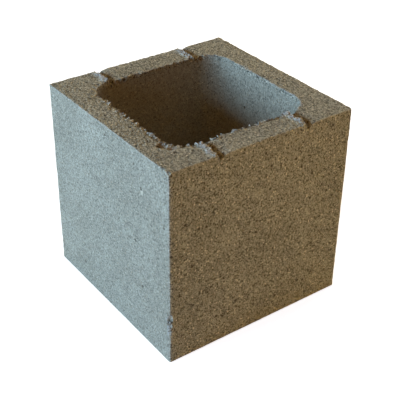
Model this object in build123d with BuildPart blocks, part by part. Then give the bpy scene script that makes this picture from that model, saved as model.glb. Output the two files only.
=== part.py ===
from build123d import *
import os

# Hollow concrete pillar block, cast in one piece and standing on its bed.
# Millimetres, +Z up, origin at the middle of the underside.
# The photograph looks at the -X and -Y sides, from above.

# Block: a 200 mm module less a 10 mm mortar joint
module = 200.0
mortar_joint = 10.0
block = module - mortar_joint

# Core cell, open at both ends and widest at the top
wall_x = 25.0
wall_y = 27.0
cell_corner_radius = 20.0
cell_draft = 2.0
mouth_wear = 1.5

# Worn arrises of the casting
side_arris_radius = 2.0
bed_arris_radius = 1.0

# Marks of the two bars that carried the core, pressed across the top of the +Y and -Y walls.
# Each has a steep cleft on its -X side, and a long slope back up to the top on the other.
cleft_spacing = 91.0
cleft_run = 2.0
cleft_root_radius = 1.2
mark_width = 13.0
mark_depth = 4.5

# Sizes that follow
cell_top_x = block - 2 * wall_x
cell_top_y = block - 2 * wall_y
cell_foot_x = cell_top_x - 2 * cell_draft
cell_foot_y = cell_top_y - 2 * cell_draft
cell_foot_corner_radius = cell_corner_radius - cell_draft


with BuildPart() as pillar_block:
    # Outer block with its worn vertical arrises
    with BuildSketch(Plane.XY):
        Rectangle(block, block)
    extrude(amount=block)
    fillet(pillar_block.edges().filter_by(Axis.Z), radius=side_arris_radius)

    # Worn edges round the two beds
    bed_edges = pillar_block.faces().filter_by(Axis.Z).edges()
    fillet(bed_edges, radius=bed_arris_radius)

    # Core cell, drafted so that the walls thicken towards the foot
    with BuildSketch(Plane.XY):
        RectangleRounded(cell_foot_x, cell_foot_y, cell_foot_corner_radius)
    with BuildSketch(Plane.XY.offset(block)):
        RectangleRounded(cell_top_x, cell_top_y, cell_corner_radius)
    loft(mode=Mode.SUBTRACT)

    # Crumbled rim of the cell at the top
    top_bed = pillar_block.faces().filter_by(Axis.Z).sort_by(Axis.Z)[-1]
    chamfer(top_bed.inner_wires().edges(), length=mouth_wear)

    # Core-bar marks, both bars at once, through the +Y and -Y walls
    with BuildSketch(Plane.XZ.offset(-block / 2)) as marks:
        with Locations((-cleft_spacing / 2, block), (cleft_spacing / 2, block)):
            Polygon(
                (-cleft_run, 0),
                (0, -mark_depth),
                (mark_width - cleft_run, 0),
                align=None,
            )
        fillet(marks.vertices().group_by(Axis.Y)[0], radius=cleft_root_radius)
    extrude(amount=block, mode=Mode.SUBTRACT)

pillar_block.part.label = "pillar_block"

os.makedirs("parts", exist_ok=True)
export_step(pillar_block.part, "parts/pillar_block.step")
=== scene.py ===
"""Hollow concrete pillar block: the weathered casting, and the studio it stands in."""

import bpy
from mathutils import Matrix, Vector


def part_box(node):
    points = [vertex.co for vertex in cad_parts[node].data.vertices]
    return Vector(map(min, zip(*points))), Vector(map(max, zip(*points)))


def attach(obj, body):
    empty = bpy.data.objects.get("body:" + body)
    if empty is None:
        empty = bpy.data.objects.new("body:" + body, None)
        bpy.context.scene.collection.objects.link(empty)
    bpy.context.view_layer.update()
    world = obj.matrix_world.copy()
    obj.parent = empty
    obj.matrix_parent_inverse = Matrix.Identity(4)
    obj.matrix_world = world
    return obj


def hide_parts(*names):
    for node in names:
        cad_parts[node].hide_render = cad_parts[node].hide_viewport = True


bl_info = {
    "name": "Concrete Pillar Block",
    "version": (1, 0, 0),
    "blender": (4, 5, 0),
    "location": "View3D > Sidebar > Pillar Block",
    "description": "Models a hollow concrete pillar block with worn edges and a sandy finish",
    "category": "Add Mesh",
}

import math
import random

import bmesh
import bpy
from bpy.props import FloatProperty, FloatVectorProperty, IntProperty, PointerProperty
from mathutils import Matrix, Vector, noise

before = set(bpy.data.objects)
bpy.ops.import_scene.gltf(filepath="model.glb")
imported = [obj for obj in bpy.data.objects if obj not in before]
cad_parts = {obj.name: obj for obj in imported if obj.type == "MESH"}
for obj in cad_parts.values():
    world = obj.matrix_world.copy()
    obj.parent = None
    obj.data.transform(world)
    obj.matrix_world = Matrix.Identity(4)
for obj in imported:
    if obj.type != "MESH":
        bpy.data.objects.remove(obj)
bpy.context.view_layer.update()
BLOCK_LOW, BLOCK_HIGH = (Vector(c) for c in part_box("pillar_block"))

# Outer edges of the beds and mouths: width of the wear at the top and at the foot
TOP_EDGE = 0.0006
FOOT_EDGE = 0.0009
# The walls that the core bars crossed: beyond this in Y, and within this in X
BARS_FROM_Y = 0.055
BARS_TO_X = 0.064
# Where the painted shadow lies in the clefts: between the cell and the outer face
CLEFT_SHADOW_FROM_Y = 0.0678
CLEFT_SHADOW_TO_Y = 0.0942
# The outer faces and the top bed, where the air holes open
FACE = round(BLOCK_HIGH.x, 4)
BED = round(BLOCK_HIGH.z - 0.0002, 4)

# Spacing of what the concrete shows, from hand-wide patches down to fine grit
PATCH = 0.055
SMEAR = 0.011
PORE = 0.0066
LUMP = 0.0024
DARK_GRAIN = 0.0017
PALE_GRAIN = 0.0016
DRAG_LINE = 0.0014
FINE_SAND = 0.0011
GRIT = 0.00095


# Sizes and colours a user would change

class BlockSizes(bpy.types.PropertyGroup):
    """Sizes of the casting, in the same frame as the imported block"""
    height: FloatProperty(
        name="Height", description="Height of the block", default=BLOCK_HIGH.z, unit='LENGTH')
    width: FloatProperty(
        name="Width", description="Side of the block along X", default=BLOCK_HIGH.x - BLOCK_LOW.x,
        unit='LENGTH')
    depth: FloatProperty(
        name="Depth", description="Side of the block along Y", default=BLOCK_HIGH.y - BLOCK_LOW.y,
        unit='LENGTH')
    wall_x: FloatProperty(
        name="X wall", description="Thickness at the top of the walls that face X", default=0.025,
        unit='LENGTH')
    wall_y: FloatProperty(
        name="Y wall", description="Thickness at the top of the walls that face Y", default=0.027,
        unit='LENGTH')
    draft: FloatProperty(
        name="Draft", description="How far the core cell closes in on each side, top to foot",
        default=0.002, unit='LENGTH')
    cell_corner: FloatProperty(
        name="Cell corner", description="Radius of the corners of the core cell", default=0.020,
        unit='LENGTH')
    arris: FloatProperty(
        name="Side arris", description="Radius of the worn upright edges", default=0.0016,
        unit='LENGTH')
    skin: FloatProperty(
        name="Skin", description="How far the rough surface lies inside the nominal size",
        default=0.0001, unit='LENGTH')
    bed_drop: FloatProperty(
        name="Bed drop", description="How far the worn top bed lies below the nominal height",
        default=0.0002, unit='LENGTH')
    cleft_spacing: FloatProperty(
        name="Cleft spacing", description="Distance between the clefts left by the two core bars",
        default=0.091, unit='LENGTH')
    mark_width: FloatProperty(
        name="Mark width", description="Width of each core-bar mark past its cleft", default=0.0115,
        unit='LENGTH')
    mark_depth: FloatProperty(
        name="Mark depth", description="Depth of each cleft", default=0.0054, unit='LENGTH')
    lip_height: FloatProperty(
        name="Lip height", description="Height of the lip squeezed up beside each cleft",
        default=0.0023, unit='LENGTH')
    lip_width: FloatProperty(
        name="Lip width", description="Width of that lip's outer slope", default=0.0080, unit='LENGTH')
    crumb_count: IntProperty(
        name="Crumbs", description="Number of loose grains stuck along the marks and the mouth",
        default=300)


class ConcreteColours(bpy.types.PropertyGroup):
    """Colours and grain of the concrete"""
    paste: FloatVectorProperty(
        name="Paste", description="Main colour of the cement paste", subtype='COLOR', size=3,
        default=(0.372, 0.357, 0.296))
    damp: FloatVectorProperty(
        name="Darker patches", description="Colour of the denser, darker patches", subtype='COLOR',
        size=3, default=(0.317, 0.302, 0.246))
    sand: FloatVectorProperty(
        name="Sand", description="Colour of the pale sand grains", subtype='COLOR', size=3,
        default=(0.80, 0.74, 0.60))
    ochre: FloatVectorProperty(
        name="Ochre grains", description="Colour of the rusty sand grains", subtype='COLOR', size=3,
        default=(0.46, 0.33, 0.19))
    # Also the colour of the painted shade in hollows
    pore: FloatVectorProperty(
        name="Pores", description="Colour inside the small pores", subtype='COLOR', size=3,
        default=(0.07, 0.06, 0.045))
    # Pale colour of breaks. It is partly real and partly a painted highlight of the cool light on the lips,
    # the mouth edge, the arrises and the chips
    broken: FloatVectorProperty(
        name="Fresh breaks", description="Colour of lips and crumbs that broke open", subtype='COLOR',
        size=3, default=(0.66, 0.65, 0.66))
    # Colour of the painted shadow that darkens the clefts
    painted_cleft_shadow: FloatVectorProperty(
        name="Clefts", description="Colour of the rusty dust that lies in the clefts", subtype='COLOR',
        size=3, default=(0.15, 0.105, 0.055))
    roughness: FloatProperty(
        name="Roughness", description="Roughness of the dry surface", default=0.92, subtype='FACTOR')


class StudioSettings(bpy.types.PropertyGroup):
    """Floor, lights and camera"""
    floor_colour: FloatVectorProperty(
        name="Floor", description="Colour of the floor", subtype='COLOR', size=3,
        default=(0.80, 0.80, 0.79))
    window_level: FloatProperty(
        name="Window level", description="Brightness of the cool light from the left", default=1.0,
        subtype='FACTOR')
    lamp_level: FloatProperty(
        name="Lamp level", description="Brightness of the warm lights on the right and in front",
        default=1.0, subtype='FACTOR')
    room_colour: FloatVectorProperty(
        name="Room", description="Colour of the dim light from the room", subtype='COLOR', size=3,
        default=(1.0, 0.41, 0.02))
    room_level: FloatProperty(
        name="Room level", description="Brightness of the dim light from the room", default=0.244)
    focal_length: FloatProperty(
        name="Focal length", description="Camera lens in millimetres", default=81.5)


# Helpers for work in edit mode

def choose(mesh, kind, test):
    """Select only the edges or faces whose middle passes the test, and return how many."""
    bpy.ops.mesh.select_mode(type=kind)
    bpy.ops.mesh.select_all(action='DESELECT')
    bm = bmesh.from_edit_mesh(mesh)
    if kind == 'EDGE':
        chosen = [e for e in bm.edges if test((e.verts[0].co + e.verts[1].co) / 2)]
    else:
        chosen = [f for f in bm.faces if test(f.calc_center_median())]
    for item in chosen:
        item.select_set(True)
    bmesh.update_edit_mesh(mesh)
    return len(chosen)


def choose_edges(mesh, test):
    """Select only the edges whose two ends pass the test, and return how many."""
    bpy.ops.mesh.select_mode(type='EDGE')
    bpy.ops.mesh.select_all(action='DESELECT')
    bm = bmesh.from_edit_mesh(mesh)
    chosen = [e for e in bm.edges if test(e.verts[0].co) and test(e.verts[1].co)]
    for e in chosen:
        e.select_set(True)
    bmesh.update_edit_mesh(mesh)
    return len(chosen)


def add_outline(mesh, half_x, half_y, z, corner, corner_pieces, splits, pieces):
    """Add a rounded rectangle's edge loop at height z, with the wanted number of edges in each stretch."""
    bpy.ops.mesh.select_all(action='DESELECT')
    bpy.ops.mesh.primitive_plane_add(size=2, location=(0, 0, 0))
    bpy.ops.transform.resize(value=(half_x, half_y, 1))
    bpy.ops.transform.translate(value=(0, 0, z))
    bpy.ops.mesh.bevel(offset=corner, offset_type='OFFSET', segments=corner_pieces, affect='VERTICES')
    for axis, place in splits:
        choose(mesh, 'FACE', lambda c: True)
        across = Vector((1, 0, 0)) if axis == 'X' else Vector((0, 1, 0))
        bpy.ops.mesh.bisect(plane_co=across * place, plane_no=across)
    # Only the outline stays
    choose(mesh, 'FACE', lambda c: True)
    bpy.ops.mesh.delete(type='ONLY_FACE')

    def inside(c):
        in_corner = abs(c.x) > half_x - corner - 1e-5 and abs(c.y) > half_y - corner - 1e-5
        return abs(c.x) < half_x - 1e-5 and abs(c.y) < half_y - 1e-5 and not in_corner
    choose(mesh, 'EDGE', lambda c: abs(c.z - z) < 1e-6 and inside(c))
    bpy.ops.mesh.delete(type='EDGE')
    # Each stretch gets its edges
    for stretch, count in pieces:
        if count > 1 and choose(mesh, 'EDGE', stretch):
            bpy.ops.mesh.subdivide(number_cuts=count - 1)


def extrude_down(mesh, test, drop, rows, narrow=None):
    """Pull the chosen rim down as a wall, narrow it towards the foot, and cut the wall into rows."""
    choose_edges(mesh, test)
    bpy.ops.mesh.extrude_edges_move(TRANSFORM_OT_translate={"value": (0, 0, -drop)})
    if narrow:
        bpy.ops.transform.resize(value=(narrow[0], narrow[1], 1), center_override=(0, 0, 0))
    if rows > 1:
        bm = bmesh.from_edit_mesh(mesh)
        low = [v.co.z for v in bm.verts if v.select]
        floor_z = sum(low) / len(low)
        top_z = floor_z + drop
        foot = {v for v in bm.verts if v.select}
        bpy.ops.mesh.select_all(action='DESELECT')
        for e in bm.edges:
            a, b = e.verts
            if (a in foot) != (b in foot) and abs(max(a.co.z, b.co.z) - top_z) < 1e-5:
                e.select_set(True)
        bmesh.update_edit_mesh(mesh)
        bpy.ops.mesh.subdivide(number_cuts=rows - 1)


def smooth_step(x, low, high):
    """0 below low, 1 above high, and an even curve between."""
    t = min(max((x - low) / (high - low), 0.0), 1.0)
    return t * t * (3 - 2 * t)


def weigh(piece, name, rule):
    """Paint a vertex group from a rule on each vertex's place and normal."""
    group = piece.vertex_groups.new(name=name)
    for v in piece.data.vertices:
        w = rule(v.co, v.normal)
        if w > 0.0005:
            group.add([v.index], min(w, 1.0), 'REPLACE')
    return name


def displace(piece, name, strength, direction='NORMAL', group="", texture=None, mid=0.0):
    """Add a Displace modifier and apply it."""
    mod = piece.modifiers.new(name, 'DISPLACE')
    mod.strength = strength
    mod.direction = direction
    mod.mid_level = mid
    mod.vertex_group = group
    if texture:
        mod.texture = texture
        mod.texture_coords = 'LOCAL'
    bpy.ops.object.modifier_apply(modifier=mod.name)


def cloud(name, size, depth=2, hard=False, basis='BLENDER_ORIGINAL', contrast=1.0):
    """A cloud texture whose features measure about size metres."""
    tex = bpy.data.textures.new(name, 'CLOUDS')
    tex.noise_scale = size
    tex.noise_depth = depth
    tex.noise_type = 'HARD_NOISE' if hard else 'SOFT_NOISE'
    tex.noise_basis = basis
    tex.contrast = contrast
    return tex


def only(piece):
    """Make one object the only selected and active one."""
    bpy.ops.object.select_all(action='DESELECT')
    piece.select_set(True)
    bpy.context.view_layer.objects.active = piece


# The casting

def cell_mouth(s):
    """Half the width and half the depth of the cell at the top bed."""
    return s.width / 2 - s.wall_x, s.depth / 2 - s.wall_y


def past_turn(co, s):
    """How far a point lies past the middle of the nearest corner of the cell, along X and along Y."""
    mouth_x, mouth_y = cell_mouth(s)
    return abs(co.x) - (mouth_x - s.cell_corner), abs(co.y) - (mouth_y - s.cell_corner)


def model_rim(mesh, s):
    """The top bed: a ring of faces from the outer outline to the mouth of the core cell."""
    top = s.height - s.bed_drop
    half_x, half_y = s.width / 2 - s.skin, s.depth / 2 - s.skin
    mouth_x, mouth_y = cell_mouth(s)
    turn_x, turn_y = mouth_x - s.cell_corner, mouth_y - s.cell_corner
    # The rim is divided at these places along X: between the marks, and past them
    near, past = 0.028, 0.058

    def between(value, low, high):
        return low - 1e-6 < abs(value) < high + 1e-6

    def stretches(hx, hy, loose_corners):
        """The stretches of an outline, finest where the camera sees the rim close up."""
        def on_x(c, side):
            return abs(c.x - side * hx) < 1e-5 and abs(c.y) < turn_y

        def on_y(c, side):
            return abs(c.y - side * hy) < 1e-5
        parts = [
            (lambda c: on_x(c, -1), 108), (lambda c: on_x(c, 1), 40),
            (lambda c: on_y(c, -1) and between(c.x, 0, near), 56),
            (lambda c: on_y(c, 1) and between(c.x, 0, near), 34),
            (lambda c: (on_y(c, -1) or on_y(c, 1)) and between(c.x, near, turn_x), 34)]
        if loose_corners:
            parts += [
                (lambda c: (on_y(c, -1) or on_y(c, 1)) and between(c.x, turn_x, past), 8),
                (lambda c: (on_y(c, -1) or on_y(c, 1)) and between(c.x, past, hx - s.arris), 12),
                (lambda c: abs(abs(c.x) - hx) < 1e-5 and between(c.y, turn_y, hy - s.arris), 16)]
        return parts

    add_outline(
        mesh, half_x, half_y, top, s.arris, 4,
        [('X', -past), ('X', -turn_x), ('X', -near), ('X', near), ('X', turn_x), ('X', past),
         ('Y', -turn_y), ('Y', turn_y)], stretches(half_x, half_y, True))
    add_outline(
        mesh, mouth_x, mouth_y, top, s.cell_corner, 40,
        [('X', -near), ('X', near)], stretches(mouth_x, mouth_y, False))
    bpy.ops.mesh.select_mode(type='EDGE')
    bpy.ops.mesh.select_all(action='SELECT')
    bpy.ops.mesh.bridge_edge_loops(number_cuts=27, interpolation='LINEAR')
    return top, half_x, half_y, mouth_x, mouth_y


def near_outline(half_x, half_y, corner, z, slack=0.00005):
    """A test for points on a rounded rectangle's outline at height z."""
    def test(c):
        if abs(c.z - z) > slack:
            return False
        dx = max(abs(c.x) - (half_x - corner), 0.0)
        dy = max(abs(c.y) - (half_y - corner), 0.0)
        if dx > 0 and dy > 0:
            return abs(math.hypot(dx, dy) - corner) < slack
        return abs(abs(c.x) - half_x) < slack or abs(abs(c.y) - half_y) < slack
    return test


def model_walls(mesh, s, top, half_x, half_y, mouth_x, mouth_y):
    """The outer walls, the drafted walls of the cell, and the bed underneath that joins them."""
    # Each stretch of a wall has its height and its number of rows, finest near the beds
    z = top
    for drop, rows in ((0.012, 14), (0.024, 12), (top - 0.059, 26), (0.015, 6), (0.008, 5)):
        extrude_down(mesh, near_outline(half_x, half_y, s.arris, z), drop, rows)
        z -= drop
    z = top
    cell_x, cell_y = mouth_x, mouth_y
    centre = s.cell_corner + 0.001
    for drop, rows in ((0.010, 12), (0.030, 13), (top - 0.048, 20), (0.008, 4)):
        close = s.draft * drop / top
        narrow = ((cell_x - close) / cell_x, (cell_y - close) / cell_y)

        def rim(c, z=z, x=cell_x, y=cell_y):
            return (abs(c.z - z) < 1e-5 and abs(c.x) < x + 1e-5 and abs(c.y) < y + 1e-5
                    and not (abs(c.x) < x - centre and abs(c.y) < y - centre) and on_cell(c, x, y, s))
        extrude_down(mesh, rim, drop, rows, narrow)
        z -= drop
        cell_x, cell_y = cell_x - close, cell_y - close
    # Underside
    bpy.ops.mesh.select_mode(type='EDGE')
    bpy.ops.mesh.select_all(action='DESELECT')
    bm = bmesh.from_edit_mesh(mesh)
    for e in bm.edges:
        if e.is_boundary:
            e.select_set(True)
    bmesh.update_edit_mesh(mesh)
    bpy.ops.mesh.bridge_edge_loops(number_cuts=5, interpolation='LINEAR')
    bpy.ops.mesh.select_all(action='SELECT')
    bpy.ops.mesh.normals_make_consistent(inside=False)
    return cell_x, cell_y


def on_cell(c, x, y, s):
    """Whether a point is on the cell's outline, whose corners are scaled with it."""
    full_x, full_y = cell_mouth(s)
    px, py = abs(c.x) * full_x / x, abs(c.y) * full_y / y
    dx, dy = px - (full_x - s.cell_corner), py - (full_y - s.cell_corner)
    if dx > 0 and dy > 0:
        return abs(math.hypot(dx, dy) - s.cell_corner) < 0.0001
    return abs(px - full_x) < 1e-5 or abs(py - full_y) < 1e-5


def wear_edges(mesh, s, top, half_x, half_y, mouth_x, mouth_y, foot_x, foot_y):
    """Round the outer edges of the beds and the two mouths of the cell."""
    edges = (
        (near_outline(half_x, half_y, s.arris, top), TOP_EDGE),
        (lambda c: abs(c.z - top) < 1e-5 and on_cell(c, mouth_x, mouth_y, s), TOP_EDGE),
        (near_outline(half_x, half_y, s.arris, 0.0), FOOT_EDGE),
        (lambda c: abs(c.z) < 1e-5 and on_cell(c, foot_x, foot_y, s), FOOT_EDGE))
    for on_edge, wear in edges:
        choose_edges(mesh, on_edge)
        bpy.ops.mesh.bevel(offset=wear, offset_type='OFFSET', segments=2, affect='EDGES')


def beside_y_walls(co):
    """Whether a point belongs to the walls that the core bars crossed."""
    return abs(co.y) > BARS_FROM_Y and abs(co.x) < BARS_TO_X


def mark_place(co, s):
    """Distance along X from the nearer core-bar cleft, which wanders a little along Y."""
    side = 1 if co.x > 0 else -1
    wander = 0.0022 * noise.noise(Vector((side * 3.1, co.y * 110, 0.4)))
    return co.x - side * s.cleft_spacing / 2 - wander


def top_hold(z, top, reach):
    """1 at the top bed, fading to 0 a given way below it."""
    return smooth_step(z, top - reach, top - 0.0004)


def press_core_bars(block, s, top):
    """The clefts left by the core bars, and the ragged lips squeezed up beside them."""
    def cleft(co, normal):
        u = mark_place(co, s)
        if not beside_y_walls(co) or u < -0.0020 or u > s.mark_width:
            return 0
        side = 1 if co.x > 0 else -1
        uneven = 0.80 + 0.35 * noise.noise(Vector((co.y * 210, side * 5.0, 1.7)))
        uneven += 0.30 * noise.noise(Vector((co.x * 300, co.y * 300, side * 3.0)))
        if u < 0:
            shape = smooth_step(u, -0.0017, -0.0003)
        else:
            shape = 0.55 * (1 - u / s.mark_width) ** 1.1 + 0.45 * math.exp(-(u / 0.0042) ** 4)
        return shape * uneven * top_hold(co.z, top, 0.018)

    def lip(co, normal):
        u = mark_place(co, s)
        if not beside_y_walls(co) or u < -0.0014 - s.lip_width or u > -0.0004:
            return 0
        side = 1 if co.x > 0 else -1
        ragged = 0.66 + 0.50 * noise.noise(Vector((co.x * 170, co.y * 260, side * 2.3)))
        ragged += 0.42 * noise.noise(Vector((co.x * 520, co.y * 520, side * 4.3)))
        near_edges = 1 - 0.55 * smooth_step(abs(co.y), 0.084, 0.094)
        if u < -0.0014:
            shape = smooth_step(u, -0.0014 - s.lip_width, -0.0034)
        else:
            shape = 1 - smooth_step(u, -0.0014, -0.0004)
        return shape * ragged * near_edges * top_hold(co.z, top, 0.006)

    clefts = weigh(block, "core_bar_cleft", cleft)
    lips = weigh(block, "core_bar_lip", lip)
    displace(block, "core_bar_cleft", -s.mark_depth, 'Z', clefts)
    displace(block, "core_bar_lip", s.lip_height, 'Z', lips)
    crumbly = cloud("lip_crumbs", 0.0013, 2, contrast=2.2)
    displace(block, "lip_crumbs", 0.0020, 'Z', lips, crumbly, 0.70)
    displace(block, "cleft_crumbs", 0.0022, 'Z', clefts, crumbly, 0.62)


def mouth_distance(co, s):
    """How far a point lies outside the mouth of the cell, in plan; negative is inside it."""
    dx, dy = past_turn(co, s)
    if dx > 0 and dy > 0:
        return math.hypot(dx, dy) - s.cell_corner
    return max(dx, dy) - s.cell_corner


def mouth_outward(co, s):
    """The way out from the cell at a point near its mouth, in plan."""
    dx, dy = past_turn(co, s)
    if dx > 0 and dy > 0:
        out = Vector((dx, dy)).normalized()
    else:
        out = Vector((1, 0)) if dx > dy else Vector((0, 1))
    return Vector((math.copysign(out.x, co.x), math.copysign(out.y, co.y)))


def wear_away(block, name, depth, texture, near, away):
    """Push a surface along the directions that away gives, as far as near and the texture say."""
    pushes = []
    for axis, index in (('X', 0), ('Y', 1), ('Z', 2)):
        for sign in (-1, 1):
            def toward(co, normal, index=index, sign=sign):
                hold = near(co)
                return hold * max(away(co)[index] * sign, 0.0) if hold > 0.001 else 0.0
            pushes.append((weigh(block, "%s_%s%d" % (name, axis, sign), toward), axis, sign * depth))
    for group, axis, strength in pushes:
        displace(block, group, strength, axis, group, texture)


def break_mouth(block, s, top):
    """Wear the mouth of the cell outwards and down, in bites and in grains."""
    def near(co, reach):
        out = max(mouth_distance(co, s), 0.0)
        clean = 0.35 if co.x > 0.052 or co.y > 0.052 else 1.0
        return clean * math.exp(-(math.hypot(out, max(top - co.z, 0.0)) / reach) ** 2)

    def away(co):
        out = mouth_outward(co, s)
        return Vector((out.x, out.y, -0.4))

    bites = cloud("mouth_bites", 0.0062, 2, True, contrast=2.6)
    wear_away(block, "mouth_bites", 0.0050, bites, lambda co: near(co, 0.0036), away)
    grit = cloud("mouth_grit", 0.0018, 2, contrast=2.6)
    wear_away(block, "mouth_grit", 0.0029, grit, lambda co: near(co, 0.0028), away)


def crumble(block, top, half_x, half_y):
    """Uneven faces and crumbled arrises, all worn inwards from the nominal size."""
    def gaps(co):
        return half_x - abs(co.x), half_y - abs(co.y), min(abs(top - co.z), abs(co.z))

    def arris(co):
        near = sorted(gaps(co))
        foot = 0.25 if co.z < 0.004 else 1.0
        return foot * math.exp(-(math.hypot(max(near[0], 0), max(near[1], 0)) / 0.0016) ** 2)

    def inwards(co):
        hold = [math.exp(-max(g, 0.0) / 0.0015) for g in gaps(co)]
        rise = 1 if co.z < top / 2 else -1
        return Vector((-math.copysign(hold[0], co.x), -math.copysign(hold[1], co.y), rise * hold[2]))

    def bed(co, normal):
        return top_hold(co.z, top, 0.003) * (1 - arris(co))

    def high_walls(co, normal):
        return top_hold(co.z, top, 0.016) * (1 - top_hold(co.z, top, 0.003)) * (1 - arris(co))

    wide = weigh(block, "faces", lambda co, normal: 1.0 if co.z > 0.0012 else 0.25)
    beds, walls = weigh(block, "bed", bed), weigh(block, "high_walls", high_walls)
    displace(block, "uneven_faces", 0.0004, 'NORMAL', wide, cloud("uneven_faces", 0.022, 3), 0.75)
    bites = cloud("arris_bites", 0.0050, 2, True, contrast=1.5)
    wear_away(block, "arris_bites", 0.0008, bites, arris, inwards)
    crumbs = cloud("arris_grit", 0.0017, 1, contrast=1.7)
    wear_away(block, "arris_grit", 0.0006, crumbs, arris, inwards)
    grit = cloud("surface_grit", 0.0015, 2, contrast=1.5)
    displace(block, "bed_grit", 0.00080, 'Z', beds, grit, 0.75)
    displace(block, "wall_grit", 0.00035, 'NORMAL', walls, grit, 0.9)


# Larger chips: place and radius in metres
CHIPS = (
    ((-0.0745, -0.0560, 0.1925), 0.0058), ((-0.0700, -0.0640, 0.1935), 0.0055),
    ((-0.0690, -0.0300, 0.1922), 0.0042), ((-0.0697, 0.0110, 0.1920), 0.0036),
    ((0.0080, -0.0690, 0.1925), 0.0052), ((0.0135, -0.0688, 0.1920), 0.0038),
    ((-0.0976, -0.0966, 0.0475), 0.0066), ((-0.0976, -0.0964, 0.0405), 0.0062),
    ((-0.0974, -0.0962, 0.0350), 0.0050), ((-0.0965, -0.0860, 0.1915), 0.0036),
    ((-0.0960, -0.0950, 0.1920), 0.0042), ((0.0962, -0.0955, 0.1915), 0.0036),
    ((0.0966, 0.0400, 0.1918), 0.0034), ((-0.0967, 0.0965, 0.0960), 0.0040),
    ((0.0965, 0.0967, 0.0300), 0.0042), ((0.0500, 0.0966, -0.0010), 0.0038),
    ((0.0967, -0.0966, 0.0700), 0.0032),
)

# Hollows where the clefts run deep
CLEFT_HOLES = (
    ((-0.0432, -0.0915, 0.1850), 0.0019), ((-0.0428, -0.0780, 0.1845), 0.0024),
    ((-0.0425, -0.0715, 0.1840), 0.0026), ((0.0472, -0.0775, 0.1850), 0.0022),
    ((0.0468, -0.0820, 0.1850), 0.0017), ((0.0455, -0.0920, 0.1845), 0.0017),
    ((-0.0430, 0.0715, 0.1845), 0.0024), ((-0.0440, 0.0800, 0.1848), 0.0018),
    ((-0.0425, 0.0905, 0.1850), 0.0020), ((0.0462, 0.0780, 0.1850), 0.0022),
    ((0.0470, 0.0850, 0.1852), 0.0016), ((0.0468, 0.0925, 0.1850), 0.0022),
)

# Air holes: place on the face and radius in metres
AIR_HOLES = (
    ((-0.0952, -0.0925, 0.0515), 0.0016), ((-FACE, -0.0558, 0.1565), 0.0015),
    ((-FACE, -0.0880, 0.1366), 0.0014), ((-FACE, -0.0450, 0.1004), 0.0015),
    ((-FACE, -0.0539, 0.0571), 0.0018), ((-FACE, 0.0473, 0.0227), 0.0018),
    ((-FACE, 0.0460, 0.0430), 0.0012), ((-FACE, -0.0021, 0.1813), 0.0013),
    ((-FACE, -0.0463, 0.1750), 0.0011), ((-FACE, 0.0526, 0.1420), 0.0010),
    ((-FACE, 0.0150, 0.0760), 0.0009), ((0.0367, -FACE, 0.1872), 0.0015),
    ((-0.0179, -FACE, 0.0410), 0.0014), ((0.0329, -FACE, 0.0397), 0.0013),
    ((-0.0560, -FACE, 0.0905), 0.0010), ((0.0060, -FACE, 0.1260), 0.0010),
    ((0.0620, -FACE, 0.0880), 0.0011), ((FACE, 0.0300, 0.1300), 0.0017),
    ((FACE, -0.0420, 0.0620), 0.0014), ((FACE, 0.0610, 0.0450), 0.0012),
    ((-0.0300, FACE, 0.1480), 0.0016), ((0.0450, FACE, 0.0820), 0.0013),
    ((-0.0640, FACE, 0.0350), 0.0015), ((0.0700, 0.0200, 0.1500), 0.0016),
    ((0.0690, -0.0250, 0.1250), 0.0012), ((-0.0800, -0.0437, BED), 0.0012),
    ((-0.0857, -0.0727, BED), 0.0013), ((-0.0795, -0.0789, BED), 0.0010),
    ((-0.0760, 0.0845, BED), 0.0011), ((-0.0829, 0.0806, BED), 0.0009),
    ((-0.0869, -0.0257, BED), 0.0010), ((-0.0808, -0.0227, BED), 0.0010),
    ((0.0150, -0.0880, BED), 0.0010), ((0.0820, -0.0560, BED), 0.0009),
    ((0.0860, 0.0420, BED), 0.0010), ((0.0100, 0.0850, BED), 0.0009),
    ((-0.0150, -0.0790, BED), 0.0009),
)


def knock_out(block, name, places, unevenness):
    """Cut rough hollows out of the block with broken lumps, uneven by a share of their mean radius."""
    bpy.ops.object.select_all(action='DESELECT')
    bpy.ops.mesh.primitive_ico_sphere_add(subdivisions=3, radius=places[0][1], location=(0, 0, 0))
    lumps = bpy.context.active_object
    lumps.name = name
    bpy.ops.object.mode_set(mode='EDIT')
    bpy.ops.mesh.select_all(action='SELECT')
    bpy.ops.transform.translate(value=places[0][0])
    for place, radius in places[1:]:
        bpy.ops.mesh.select_all(action='DESELECT')
        bpy.ops.mesh.primitive_ico_sphere_add(subdivisions=3, radius=radius, location=place)
    bpy.ops.object.mode_set(mode='OBJECT')
    mean = sum(r for _, r in places) / len(places)
    breaks = cloud(name + "_broken", mean * 1.1, 2, contrast=1.5)
    displace(lumps, "broken", mean * unevenness, texture=breaks, mid=0.5)
    only(block)
    cut = block.modifiers.new(name, 'BOOLEAN')
    cut.operation = 'DIFFERENCE'
    cut.solver = 'MANIFOLD'
    cut.object = lumps
    bpy.ops.object.modifier_apply(modifier=cut.name)
    bpy.data.objects.remove(lumps)


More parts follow.
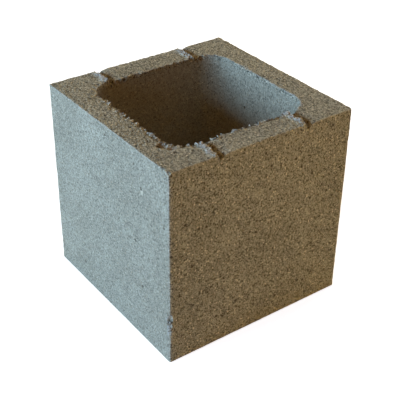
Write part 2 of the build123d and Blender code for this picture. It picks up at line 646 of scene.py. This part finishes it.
def stick_crumbs(block, s, top):
    """Grains that broke loose and set again along the lips, the clefts and the mouth."""
    dice = random.Random(11)
    mouth_x, mouth_y = cell_mouth(s)
    down = Vector((0, 0, -1))
    seats = []
    for i in range(s.crumb_count):
        size = dice.uniform(0.00030, 0.00085)
        side, wall = dice.choice((-1, 1)), dice.choice((-1, 1))
        if i % 5 > 1:
            # Along a mark
            x = side * s.cleft_spacing / 2 - dice.triangular(-0.0045, 0.0060, 0.0020)
            y = wall * dice.uniform(0.0690, 0.0935)
        elif dice.random() < 0.65:
            # Along the mouth, on the side that faces the window
            x = -mouth_x - dice.uniform(0.0006, 0.0042)
            y = dice.uniform(-0.058, 0.050)
        else:
            # Along the mouth, on the other two walls that are seen
            x = dice.uniform(-0.054, 0.050)
            y = wall * (mouth_y + dice.uniform(0.0006, 0.0042))
        found, seat, normal, _ = block.ray_cast(Vector((x, y, top + 0.01)), down)
        if found and top - 0.007 < seat.z < top + 0.0022 - size:
            seats.append((seat - normal * size * 0.25, size))
    bpy.ops.object.select_all(action='DESELECT')
    bpy.ops.mesh.primitive_ico_sphere_add(subdivisions=1, radius=0.0005, location=(0, 0, 0))
    crumbs = bpy.context.active_object
    crumbs.name = "crumbs"
    bpy.ops.object.mode_set(mode='EDIT')
    bpy.ops.mesh.select_all(action='SELECT')
    bpy.ops.mesh.delete(type='VERT')
    for seat, size in seats:
        bpy.ops.mesh.select_all(action='DESELECT')
        fineness = 2 if size > 0.0007 else 1
        bpy.ops.mesh.primitive_ico_sphere_add(subdivisions=fineness, radius=size, location=seat)
        stretch = (dice.uniform(0.7, 1.3), dice.uniform(0.7, 1.3), dice.uniform(0.7, 1.1))
        bpy.ops.transform.resize(value=stretch, center_override=seat)
    bpy.ops.object.mode_set(mode='OBJECT')
    corners = cloud("crumb_faces", 0.0007, 1, contrast=1.5)
    displace(crumbs, "angular", 0.0005, texture=corners, mid=0.5)
    crumbs.select_set(True)
    block.select_set(True)
    bpy.context.view_layer.objects.active = block
    bpy.ops.object.join()


def mark_breaks(block, s, top):
    """Note on each point how pale it is, from breaks and partly as a painted highlight, and how much
    painted shadow lies on it in the clefts, for the concrete's colour.
    """
    mesh = block.data
    broken = mesh.attributes.new("broken", 'FLOAT', 'POINT')
    painted_cleft_shadow = mesh.attributes.new("painted_cleft_shadow", 'FLOAT', 'POINT')
    half_x, half_y = s.width / 2 - s.skin, s.depth / 2 - s.skin
    for v in mesh.vertices:
        co = v.co
        # Paler on the raised lips and crumbs, the mouth edge, the arrises and the chips: partly real
        # breaks, partly a painted highlight
        speckle = smooth_step(noise.noise(co * 1100), -0.25, 0.30)
        raised = smooth_step(co.z, top + 0.0001, top + 0.0009) * (0.45 + 0.55 * speckle)
        mouth = math.exp(-(mouth_distance(co, s) / 0.0020) ** 2) if co.z > top - 0.0016 else 0.0
        gaps = sorted((half_x - abs(co.x), half_y - abs(co.y), abs(top - co.z)))
        arris = 0.55 * math.exp(-(math.hypot(gaps[0], gaps[1]) / 0.0010) ** 2)
        in_chip = any((co - Vector(place)).length < radius * 1.04 for place, radius in CHIPS)
        chipped = 0.7 if in_chip else 0.0
        broken.data[v.index].value = max(raised, mouth * 0.45 * speckle, max(arris, chipped) * speckle)
        # Painted shadow in the clefts: darker the deeper a point lies below the bed, in patches
        u = mark_place(co, s)
        on_wall = beside_y_walls(co) and CLEFT_SHADOW_FROM_Y < abs(co.y) < CLEFT_SHADOW_TO_Y
        if on_wall and -0.002 < u < s.mark_width and v.normal.z > 0.2 and co.z > top - 0.010:
            depth = smooth_step(top - co.z, 0.0006, 0.0036)
            patchy = 0.35 + 0.65 * smooth_step(noise.noise(co * 420), -0.2, 0.3)
            painted_cleft_shadow.data[v.index].value = depth * patchy


class PILLAR_OT_cast_block(bpy.types.Operator):
    """Model the weathered casting in place of the plain block"""
    bl_idname = "pillar.cast_block"
    bl_label = "Cast Block"

    def execute(self, context):
        s = context.scene.pillar_block_sizes
        bpy.ops.object.select_all(action='DESELECT')
        bpy.ops.mesh.primitive_plane_add(size=2, location=(0, 0, 0))
        block = context.active_object
        block.name = "weathered_casting"
        block.data.name = "weathered_casting"
        mesh = block.data
        bpy.ops.object.mode_set(mode='EDIT')
        bpy.ops.mesh.select_all(action='SELECT')
        bpy.ops.mesh.delete(type='VERT')
        top, half_x, half_y, mouth_x, mouth_y = model_rim(mesh, s)
        foot_x, foot_y = model_walls(mesh, s, top, half_x, half_y, mouth_x, mouth_y)
        wear_edges(mesh, s, top, half_x, half_y, mouth_x, mouth_y, foot_x, foot_y)
        bpy.ops.object.mode_set(mode='OBJECT')
        only(block)
        break_mouth(block, s, top)
        press_core_bars(block, s, top)
        crumble(block, top, half_x, half_y)
        knock_out(block, "chips", CHIPS, 0.5)
        knock_out(block, "cleft_holes", CLEFT_HOLES, 0.5)
        knock_out(block, "air_holes", AIR_HOLES, 0.4)
        stick_crumbs(block, s, top)
        mark_breaks(block, s, top)
        only(block)
        bpy.ops.object.shade_smooth_by_angle(angle=math.radians(50))
        block.vertex_groups.clear()

        block.data.materials.clear()
        block.data.materials.append(concrete_material(context.scene.pillar_concrete, s))
        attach(block, "root")
        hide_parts("pillar_block")
        return {'FINISHED'}


# The concrete

def add_node(tree, kind, x, y, **settings):
    """Add a node at a place, with its settings."""
    node = tree.nodes.new(kind)
    node.location = (x, y)
    for key, value in settings.items():
        setattr(node, key, value)
    return node


def concrete_material(c, s):
    """Dry sandy concrete: mottled paste, pale grains and dark pores, with a rough open surface.

    Takes the colours and the sizes, which say where the faces, the bed and the cell are.
    """
    mat = bpy.data.materials.new("cast_concrete")
    mat.use_nodes = True
    tree = mat.node_tree
    tree.nodes.clear()
    link = tree.links.new
    coords = add_node(tree, 'ShaderNodeTexCoord', -2200, 0)

    def clouds(x, y, size, detail, roughness, places=None):
        n = add_node(tree, 'ShaderNodeTexNoise', x, y)
        n.inputs['Scale'].default_value = 1 / size
        n.inputs['Detail'].default_value = detail
        n.inputs['Roughness'].default_value = roughness
        link(places or coords.outputs['Object'], n.inputs['Vector'])
        return n.outputs['Fac']

    def cells(x, y, size):
        n = add_node(tree, 'ShaderNodeTexVoronoi', x, y)
        n.inputs['Scale'].default_value = 1 / size
        link(coords.outputs['Object'], n.inputs['Vector'])
        return n.outputs['Distance'], n.outputs['Color']

    def reach(x, y, value, low, high, to_low=0.0, to_high=1.0):
        n = add_node(tree, 'ShaderNodeMapRange', x, y, interpolation_type='SMOOTHSTEP')
        n.inputs['From Min'].default_value = low
        n.inputs['From Max'].default_value = high
        n.inputs['To Min'].default_value = to_low
        n.inputs['To Max'].default_value = to_high
        link(value, n.inputs['Value'])
        return n.outputs['Result']

    def maths(x, y, operation, a, b):
        n = add_node(tree, 'ShaderNodeMath', x, y, operation=operation)
        for socket, value in zip(n.inputs, (a, b)):
            if isinstance(value, (int, float)):
                socket.default_value = value
            else:
                link(value, socket)
        return n.outputs[0]

    def blend(x, y, amount, a, b, kind='MIX'):
        n = add_node(tree, 'ShaderNodeMix', x, y, data_type='RGBA', blend_type=kind)
        for socket, value in ((n.inputs[0], amount), (n.inputs[6], a), (n.inputs[7], b)):
            if isinstance(value, bpy.types.NodeSocket):
                link(value, socket)
            elif isinstance(value, (int, float)):
                socket.default_value = value
            else:
                socket.default_value = (*value, 1)
        return n.outputs[2]

    def one_in(x, y, colour, share):
        parts = add_node(tree, 'ShaderNodeSeparateColor', x, y)
        link(colour, parts.inputs[0])
        return maths(x + 200, y, 'LESS_THAN', parts.outputs[0], share)

    def grains(x, y, size, share, core, rim):
        """Round grains in a share of the cells, solid to the core and gone at the rim."""
        distance, colour = cells(x, y, size)
        dots = reach(x + 400, y, distance, rim, core)
        return maths(x + 600, y, 'MULTIPLY', dots, one_in(x + 200, y - 100, colour, share))

    # The sides that face X and the walls of the cell came off the mould smoother than the rest
    places = add_node(tree, 'ShaderNodeSeparateXYZ', -1900, 1100)
    link(coords.outputs['Object'], places.inputs[0])
    up = places.outputs['Z']
    across_x = maths(-1700, 1300, 'ABSOLUTE', places.outputs['X'], 0.0)
    across_y = maths(-1700, 1450, 'ABSOLUTE', places.outputs['Y'], 0.0)
    on_side = reach(-1500, 1100, across_x, s.width / 2 - 0.0012, s.width / 2 - 0.0006)
    mouth_x, mouth_y = cell_mouth(s)
    within_x = maths(-1500, 1300, 'LESS_THAN', across_x, mouth_x + 0.0003)
    within_y = maths(-1500, 1450, 'LESS_THAN', across_y, mouth_y + 0.0003)
    below_bed = reach(-1300, 1250, up, s.height - 0.0015, s.height - 0.0060)
    in_cell = maths(-1300, 1400, 'MULTIPLY', within_x, within_y)
    in_cell = maths(-1100, 1400, 'MULTIPLY', in_cell, below_bed)
    smooth = maths(-900, 1300, 'MAXIMUM', on_side, in_cell)
    rough = reach(-700, 1200, smooth, 0.0, 1.0, 1.0, 0.50)
    # The top bed is the roughest
    bed = reach(-1300, 1050, up, s.height - 0.0022, s.height - 0.0012)
    rough = maths(-500, 1200, 'ADD', rough, maths(-700, 1050, 'MULTIPLY', bed, 0.20))

    # Patches of denser paste, a hand wide and a finger wide
    patches = reach(-1700, 600, clouds(-1900, 600, PATCH, 4, 0.6), 0.35, 0.68)
    smears = reach(-1700, 350, clouds(-1900, 350, SMEAR, 3, 0.6), 0.38, 0.66)
    # Sand: fine grit, with faint lines where the mould dragged up the face
    grit_edge, grit_colour = cells(-1900, 850, GRIT)
    grit = add_node(tree, 'ShaderNodeSeparateColor', -1700, 850)
    link(grit_colour, grit.inputs[0])
    drawn_up = add_node(tree, 'ShaderNodeMapping', -2050, 250)
    drawn_up.inputs['Scale'].default_value = (1, 1, 0.16)
    link(coords.outputs['Object'], drawn_up.inputs['Vector'])
    drag = clouds(-1900, 220, DRAG_LINE, 1, 0.5, drawn_up.outputs[0])
    drag = maths(-1500, 200, 'MULTIPLY', drag, 0.16)
    fine = maths(-1500, 100, 'MULTIPLY', clouds(-1900, 100, FINE_SAND, 1, 0.5), 0.30)
    grain = maths(-1300, 150, 'ADD', drag, fine)
    grain = maths(-1100, 200, 'ADD', grain, maths(-1300, 850, 'MULTIPLY', grit.outputs[1], 0.34))
    # Pale, ochre and dark grains of about a millimetre
    pale = grains(-1900, -150, PALE_GRAIN, 0.075, 0.42, 0.50)
    ochre = maths(-1300, -250, 'MULTIPLY', reach(-1500, -250, grit_edge, 0.55, 0.35),
                  maths(-1500, -350, 'LESS_THAN', grit.outputs[2], 0.07))
    dark = grains(-1900, -450, DARK_GRAIN, 0.18, 0.44, 0.53)
    # Open pores, fewer and larger, and fewest in the cell
    pore = grains(-1900, -750, PORE, 0.15, 0.18, 0.23)
    pore = maths(-1200, -750, 'MULTIPLY', pore, reach(-1300, -900, in_cell, 0.0, 1.0, 1.0, 0.25))
    few = maths(-1300, -600, 'SUBTRACT', rough, maths(-1500, -600, 'MULTIPLY', bed, 0.65))
    holes = maths(-1100, -600, 'MAXIMUM', maths(-1200, -500, 'MULTIPLY', dark, few), pore)

    colour = blend(-1100, 600, patches, c.paste, c.damp)
    colour = blend(-900, 500, maths(-1100, 350, 'MULTIPLY', smears, 0.35), colour, c.damp)
    shade = maths(-900, 200, 'MULTIPLY', maths(-1000, 200, 'SUBTRACT', grain, 0.40), 3.5)
    shade = maths(-700, 250, 'ADD', maths(-800, 250, 'MULTIPLY', shade, rough), 1.0)
    shade = maths(-600, 250, 'MAXIMUM', shade, 0.2)
    colour = blend(-600, 450, 1.0, colour, shade, 'MULTIPLY')
    colour = blend(-500, 400, maths(-900, -250, 'MULTIPLY', ochre, 0.6), colour, c.ochre)
    pale_here = maths(-900, -150, 'MULTIPLY', maths(-1000, -150, 'MULTIPLY', pale, rough), 0.95)
    colour = blend(-400, 400, pale_here, colour, c.sand)
    colour = blend(-300, 350, maths(-900, -450, 'MULTIPLY', holes, 0.95), colour, c.pore)

    # Painted shadow in the clefts, darker where they run deep
    cleft_shadow_attribute = add_node(tree, 'ShaderNodeAttribute', -700, 1100, attribute_name="painted_cleft_shadow")
    colour = blend(-250, 500, maths(-500, 1050, 'MULTIPLY', cleft_shadow_attribute.outputs['Fac'], 0.75), colour, c.painted_cleft_shadow)
    # Pale breaks on the lips and crumbs, partly a painted highlight, also along the mouth edge, the arrises
    # and the chips
    pale_break_and_highlight = add_node(tree, 'ShaderNodeAttribute', -700, 1300, attribute_name="broken")
    colour = blend(-200, 550, maths(-500, 1250, 'MULTIPLY', pale_break_and_highlight.outputs['Fac'], 0.8), colour, c.broken)

    # Edges rub pale, partly a painted highlight; hollows are darkened with painted shade
    worn = add_node(tree, 'ShaderNodeNewGeometry', -900, 900)
    # Convex edges paler: partly wear, partly a painted highlight
    pale_edge_and_highlight = reach(-700, 950, worn.outputs['Pointiness'], 0.51, 0.58, 0.0, 0.55)
    painted_hollow_shade = reach(-700, 750, worn.outputs['Pointiness'], 0.48, 0.40, 0.0, 0.6)
    colour = blend(-100, 400, pale_edge_and_highlight, colour, c.sand)
    colour = blend(100, 400, painted_hollow_shade, colour, c.pore)

    # Relief in millimetres
    relief = maths(-700, -100, 'MULTIPLY', grain, 1.35)
    lumps = maths(-700, -250, 'MULTIPLY', clouds(-1900, -1050, LUMP, 2, 0.6), 0.6)
    relief = maths(-500, -150, 'ADD', relief, lumps)
    relief = maths(-300, -200, 'ADD', relief, maths(-500, -350, 'MULTIPLY', pale, 0.15))
    relief = maths(-100, -250, 'SUBTRACT', relief, maths(-300, -450, 'MULTIPLY', holes, 0.45))
    relief = maths(0, -300, 'MULTIPLY', relief, maths(-200, -400, 'ADD', rough, pale_break_and_highlight.outputs['Fac']))
    bump = add_node(tree, 'ShaderNodeBump', 150, -250)
    bump.inputs['Strength'].default_value = 1.0
    bump.inputs['Distance'].default_value = 0.001
    link(relief, bump.inputs['Height'])

    shader = add_node(tree, 'ShaderNodeBsdfPrincipled', 500, 0)
    shader.inputs['Specular IOR Level'].default_value = 0.25
    link(reach(100, 0, grain, 0.2, 0.8, c.roughness - 0.08, c.roughness + 0.06), shader.inputs['Roughness'])
    link(colour, shader.inputs['Base Color'])
    link(bump.outputs['Normal'], shader.inputs['Normal'])
    out = add_node(tree, 'ShaderNodeOutputMaterial', 800, 0)
    link(shader.outputs['BSDF'], out.inputs['Surface'])
    return mat


# The studio

def area_light(name, place, aim, size_x, size_y, colour, level):
    """A soft rectangular light that gives the wanted level on a surface facing it at the aim."""
    data = bpy.data.lights.new(name, 'AREA')
    data.shape = 'RECTANGLE'
    data.size, data.size_y = size_x, size_y
    data.color = colour
    reach = Vector(aim) - Vector(place)
    data.energy = level * math.pi ** 2 * reach.length_squared
    lamp = bpy.data.objects.new(name, data)
    lamp.location = place
    lamp.rotation_euler = reach.to_track_quat('-Z', 'Y').to_euler()
    bpy.context.scene.collection.objects.link(lamp)
    return lamp


def place_camera(settings):
    """The camera at the photograph's angle, found from the block's corners."""
    azimuth, elevation, roll = math.radians(-36.21), math.radians(32.66), math.radians(0.74)
    aim = Vector((-0.0092, -0.0184, 0.095))
    distance = 0.8213
    back = Vector((math.sin(azimuth) * math.cos(elevation),
                   -math.cos(azimuth) * math.cos(elevation), math.sin(elevation)))
    level = Vector((math.cos(azimuth), math.sin(azimuth), 0))
    rise = back.cross(level)
    right = level * math.cos(roll) + rise * math.sin(roll)
    up = rise * math.cos(roll) - level * math.sin(roll)
    data = bpy.data.cameras.new("camera")
    data.lens = settings.focal_length
    data.sensor_width = 36
    data.clip_start = 0.05
    camera = bpy.data.objects.new("camera", data)
    turn = Matrix((right, up, back)).transposed()
    camera.matrix_world = Matrix.Translation(aim + back * distance) @ turn.to_4x4()
    bpy.context.scene.collection.objects.link(camera)
    bpy.context.scene.camera = camera


def plain_rays(tree, rays, x, y):
    """1 for rays from the camera, straight, mirrored or through glass."""
    bent = add_node(tree, 'ShaderNodeMath', x, y, operation='MAXIMUM')
    tree.links.new(rays.outputs['Is Glossy Ray'], bent.inputs[0])
    tree.links.new(rays.outputs['Is Transmission Ray'], bent.inputs[1])
    any_of = add_node(tree, 'ShaderNodeMath', x + 150, y, operation='MAXIMUM')
    tree.links.new(rays.outputs['Is Camera Ray'], any_of.inputs[0])
    tree.links.new(bent.outputs[0], any_of.inputs[1])
    return any_of.outputs[0]


def studio_floor_material(settings):
    """A pale floor that shows white to the camera and keeps the block's shadow."""
    mat = bpy.data.materials.new("studio_floor")
    mat.use_nodes = True
    tree = mat.node_tree
    tree.nodes.clear()
    link = tree.links.new
    out = add_node(tree, 'ShaderNodeOutputMaterial', 600, 0)
    both = add_node(tree, 'ShaderNodeAddShader', 400, 0)
    matt = add_node(tree, 'ShaderNodeBsdfDiffuse', 150, 100)
    matt.inputs['Color'].default_value = (*settings.floor_colour, 1)
    glow = add_node(tree, 'ShaderNodeEmission', 150, -100)
    glow.inputs['Color'].default_value = (0.90, 0.93, 0.99, 1)
    rays = add_node(tree, 'ShaderNodeLightPath', -300, -100)
    seen = add_node(tree, 'ShaderNodeMath', -100, -100, operation='MULTIPLY')
    seen.inputs[1].default_value = 0.88
    link(plain_rays(tree, rays, -300, 100), seen.inputs[0])
    link(seen.outputs[0], glow.inputs['Strength'])
    link(matt.outputs[0], both.inputs[0])
    link(glow.outputs[0], both.inputs[1])
    link(both.outputs[0], out.inputs['Surface'])
    return mat


class PILLAR_OT_studio(bpy.types.Operator):
    """Set the floor, the soft lights and the camera at the photograph's angle"""
    bl_idname = "pillar.studio"
    bl_label = "Studio"

    def execute(self, context):
        scene = context.scene
        settings = scene.pillar_studio
        scene.view_settings.view_transform = 'Standard'

        bpy.ops.object.select_all(action='DESELECT')
        bpy.ops.mesh.primitive_plane_add(size=8, location=(0, 0, 0))
        floor = context.active_object
        floor.name = "studio_floor"
        bpy.ops.object.mode_set(mode='EDIT')
        bpy.ops.mesh.subdivide(number_cuts=3)
        bpy.ops.object.mode_set(mode='OBJECT')
        floor.data.materials.append(studio_floor_material(settings))

        world = bpy.data.worlds.new("studio")
        scene.world = world
        world.use_nodes = True
        tree = world.node_tree
        tree.nodes.clear()
        out = add_node(tree, 'ShaderNodeOutputWorld', 600, 0)
        mix = add_node(tree, 'ShaderNodeMixShader', 400, 0)
        room = add_node(tree, 'ShaderNodeBackground', 150, 100)
        room.inputs['Color'].default_value = (*settings.room_colour, 1)
        room.inputs['Strength'].default_value = settings.room_level
        seen = add_node(tree, 'ShaderNodeBackground', 150, -100)
        seen.inputs['Color'].default_value = (1, 1, 1, 1)
        seen.inputs['Strength'].default_value = 1.0
        rays = add_node(tree, 'ShaderNodeLightPath', -100, 100)
        tree.links.new(plain_rays(tree, rays, 100, 250), mix.inputs[0])
        tree.links.new(room.outputs[0], mix.inputs[1])
        tree.links.new(seen.outputs[0], mix.inputs[2])
        tree.links.new(mix.outputs[0], out.inputs['Surface'])

        middle = (0, 0, 0.12)
        area_light("window_light", (-2.0, 0.36, 0.62), middle, 1.4, 0.8, (0.42, 0.715, 1.0),
                   1.34 * settings.window_level)
        area_light("lamp_light", (2.20, -0.62, 0.215), middle, 0.40, 0.10, (1.0, 0.76, 0.40),
                   0.34 * settings.lamp_level)
        area_light("low_light", (0.35, -2.20, 0.09), (0, 0, 0.09), 1.0, 0.14, (1.0, 0.70, 0.0),
                   0.080 * settings.lamp_level)
        area_light("side_light", (1.50, 0.25, 0.75), middle, 0.7, 0.5, (0.82, 0.96, 1.0), 0.17)
        area_light("rear_light", (0.90, 1.30, 1.60), middle, 0.9, 0.9, (1.0, 1.0, 0.56), 0.245)
        place_camera(settings)
        return {'FINISHED'}


class PILLAR_PT_sidebar(bpy.types.Panel):
    """Lists the steps that build the block and its studio"""
    bl_idname = "PILLAR_PT_sidebar"
    bl_label = "Pillar Block"
    bl_space_type = 'VIEW_3D'
    bl_region_type = 'UI'
    bl_category = "Pillar Block"

    def draw(self, context):
        layout = self.layout
        scene = context.scene
        for group in (scene.pillar_block_sizes, scene.pillar_concrete, scene.pillar_studio):
            box = layout.box()
            for name in group.__annotations__:
                box.prop(group, name)
        layout.operator(PILLAR_OT_cast_block.bl_idname)
        layout.operator(PILLAR_OT_studio.bl_idname)


CLASSES = (
    BlockSizes, ConcreteColours, StudioSettings,
    PILLAR_OT_cast_block, PILLAR_OT_studio, PILLAR_PT_sidebar,
)


def register():
    for cls in CLASSES:
        bpy.utils.register_class(cls)
    bpy.types.Scene.pillar_block_sizes = PointerProperty(type=BlockSizes)
    bpy.types.Scene.pillar_concrete = PointerProperty(type=ConcreteColours)
    bpy.types.Scene.pillar_studio = PointerProperty(type=StudioSettings)


def unregister():
    del bpy.types.Scene.pillar_studio
    del bpy.types.Scene.pillar_concrete
    del bpy.types.Scene.pillar_block_sizes
    for cls in reversed(CLASSES):
        bpy.utils.unregister_class(cls)


def main():
    register()
    bpy.ops.pillar.cast_block()
    bpy.ops.pillar.studio()


if __name__ == "__main__":
    main()
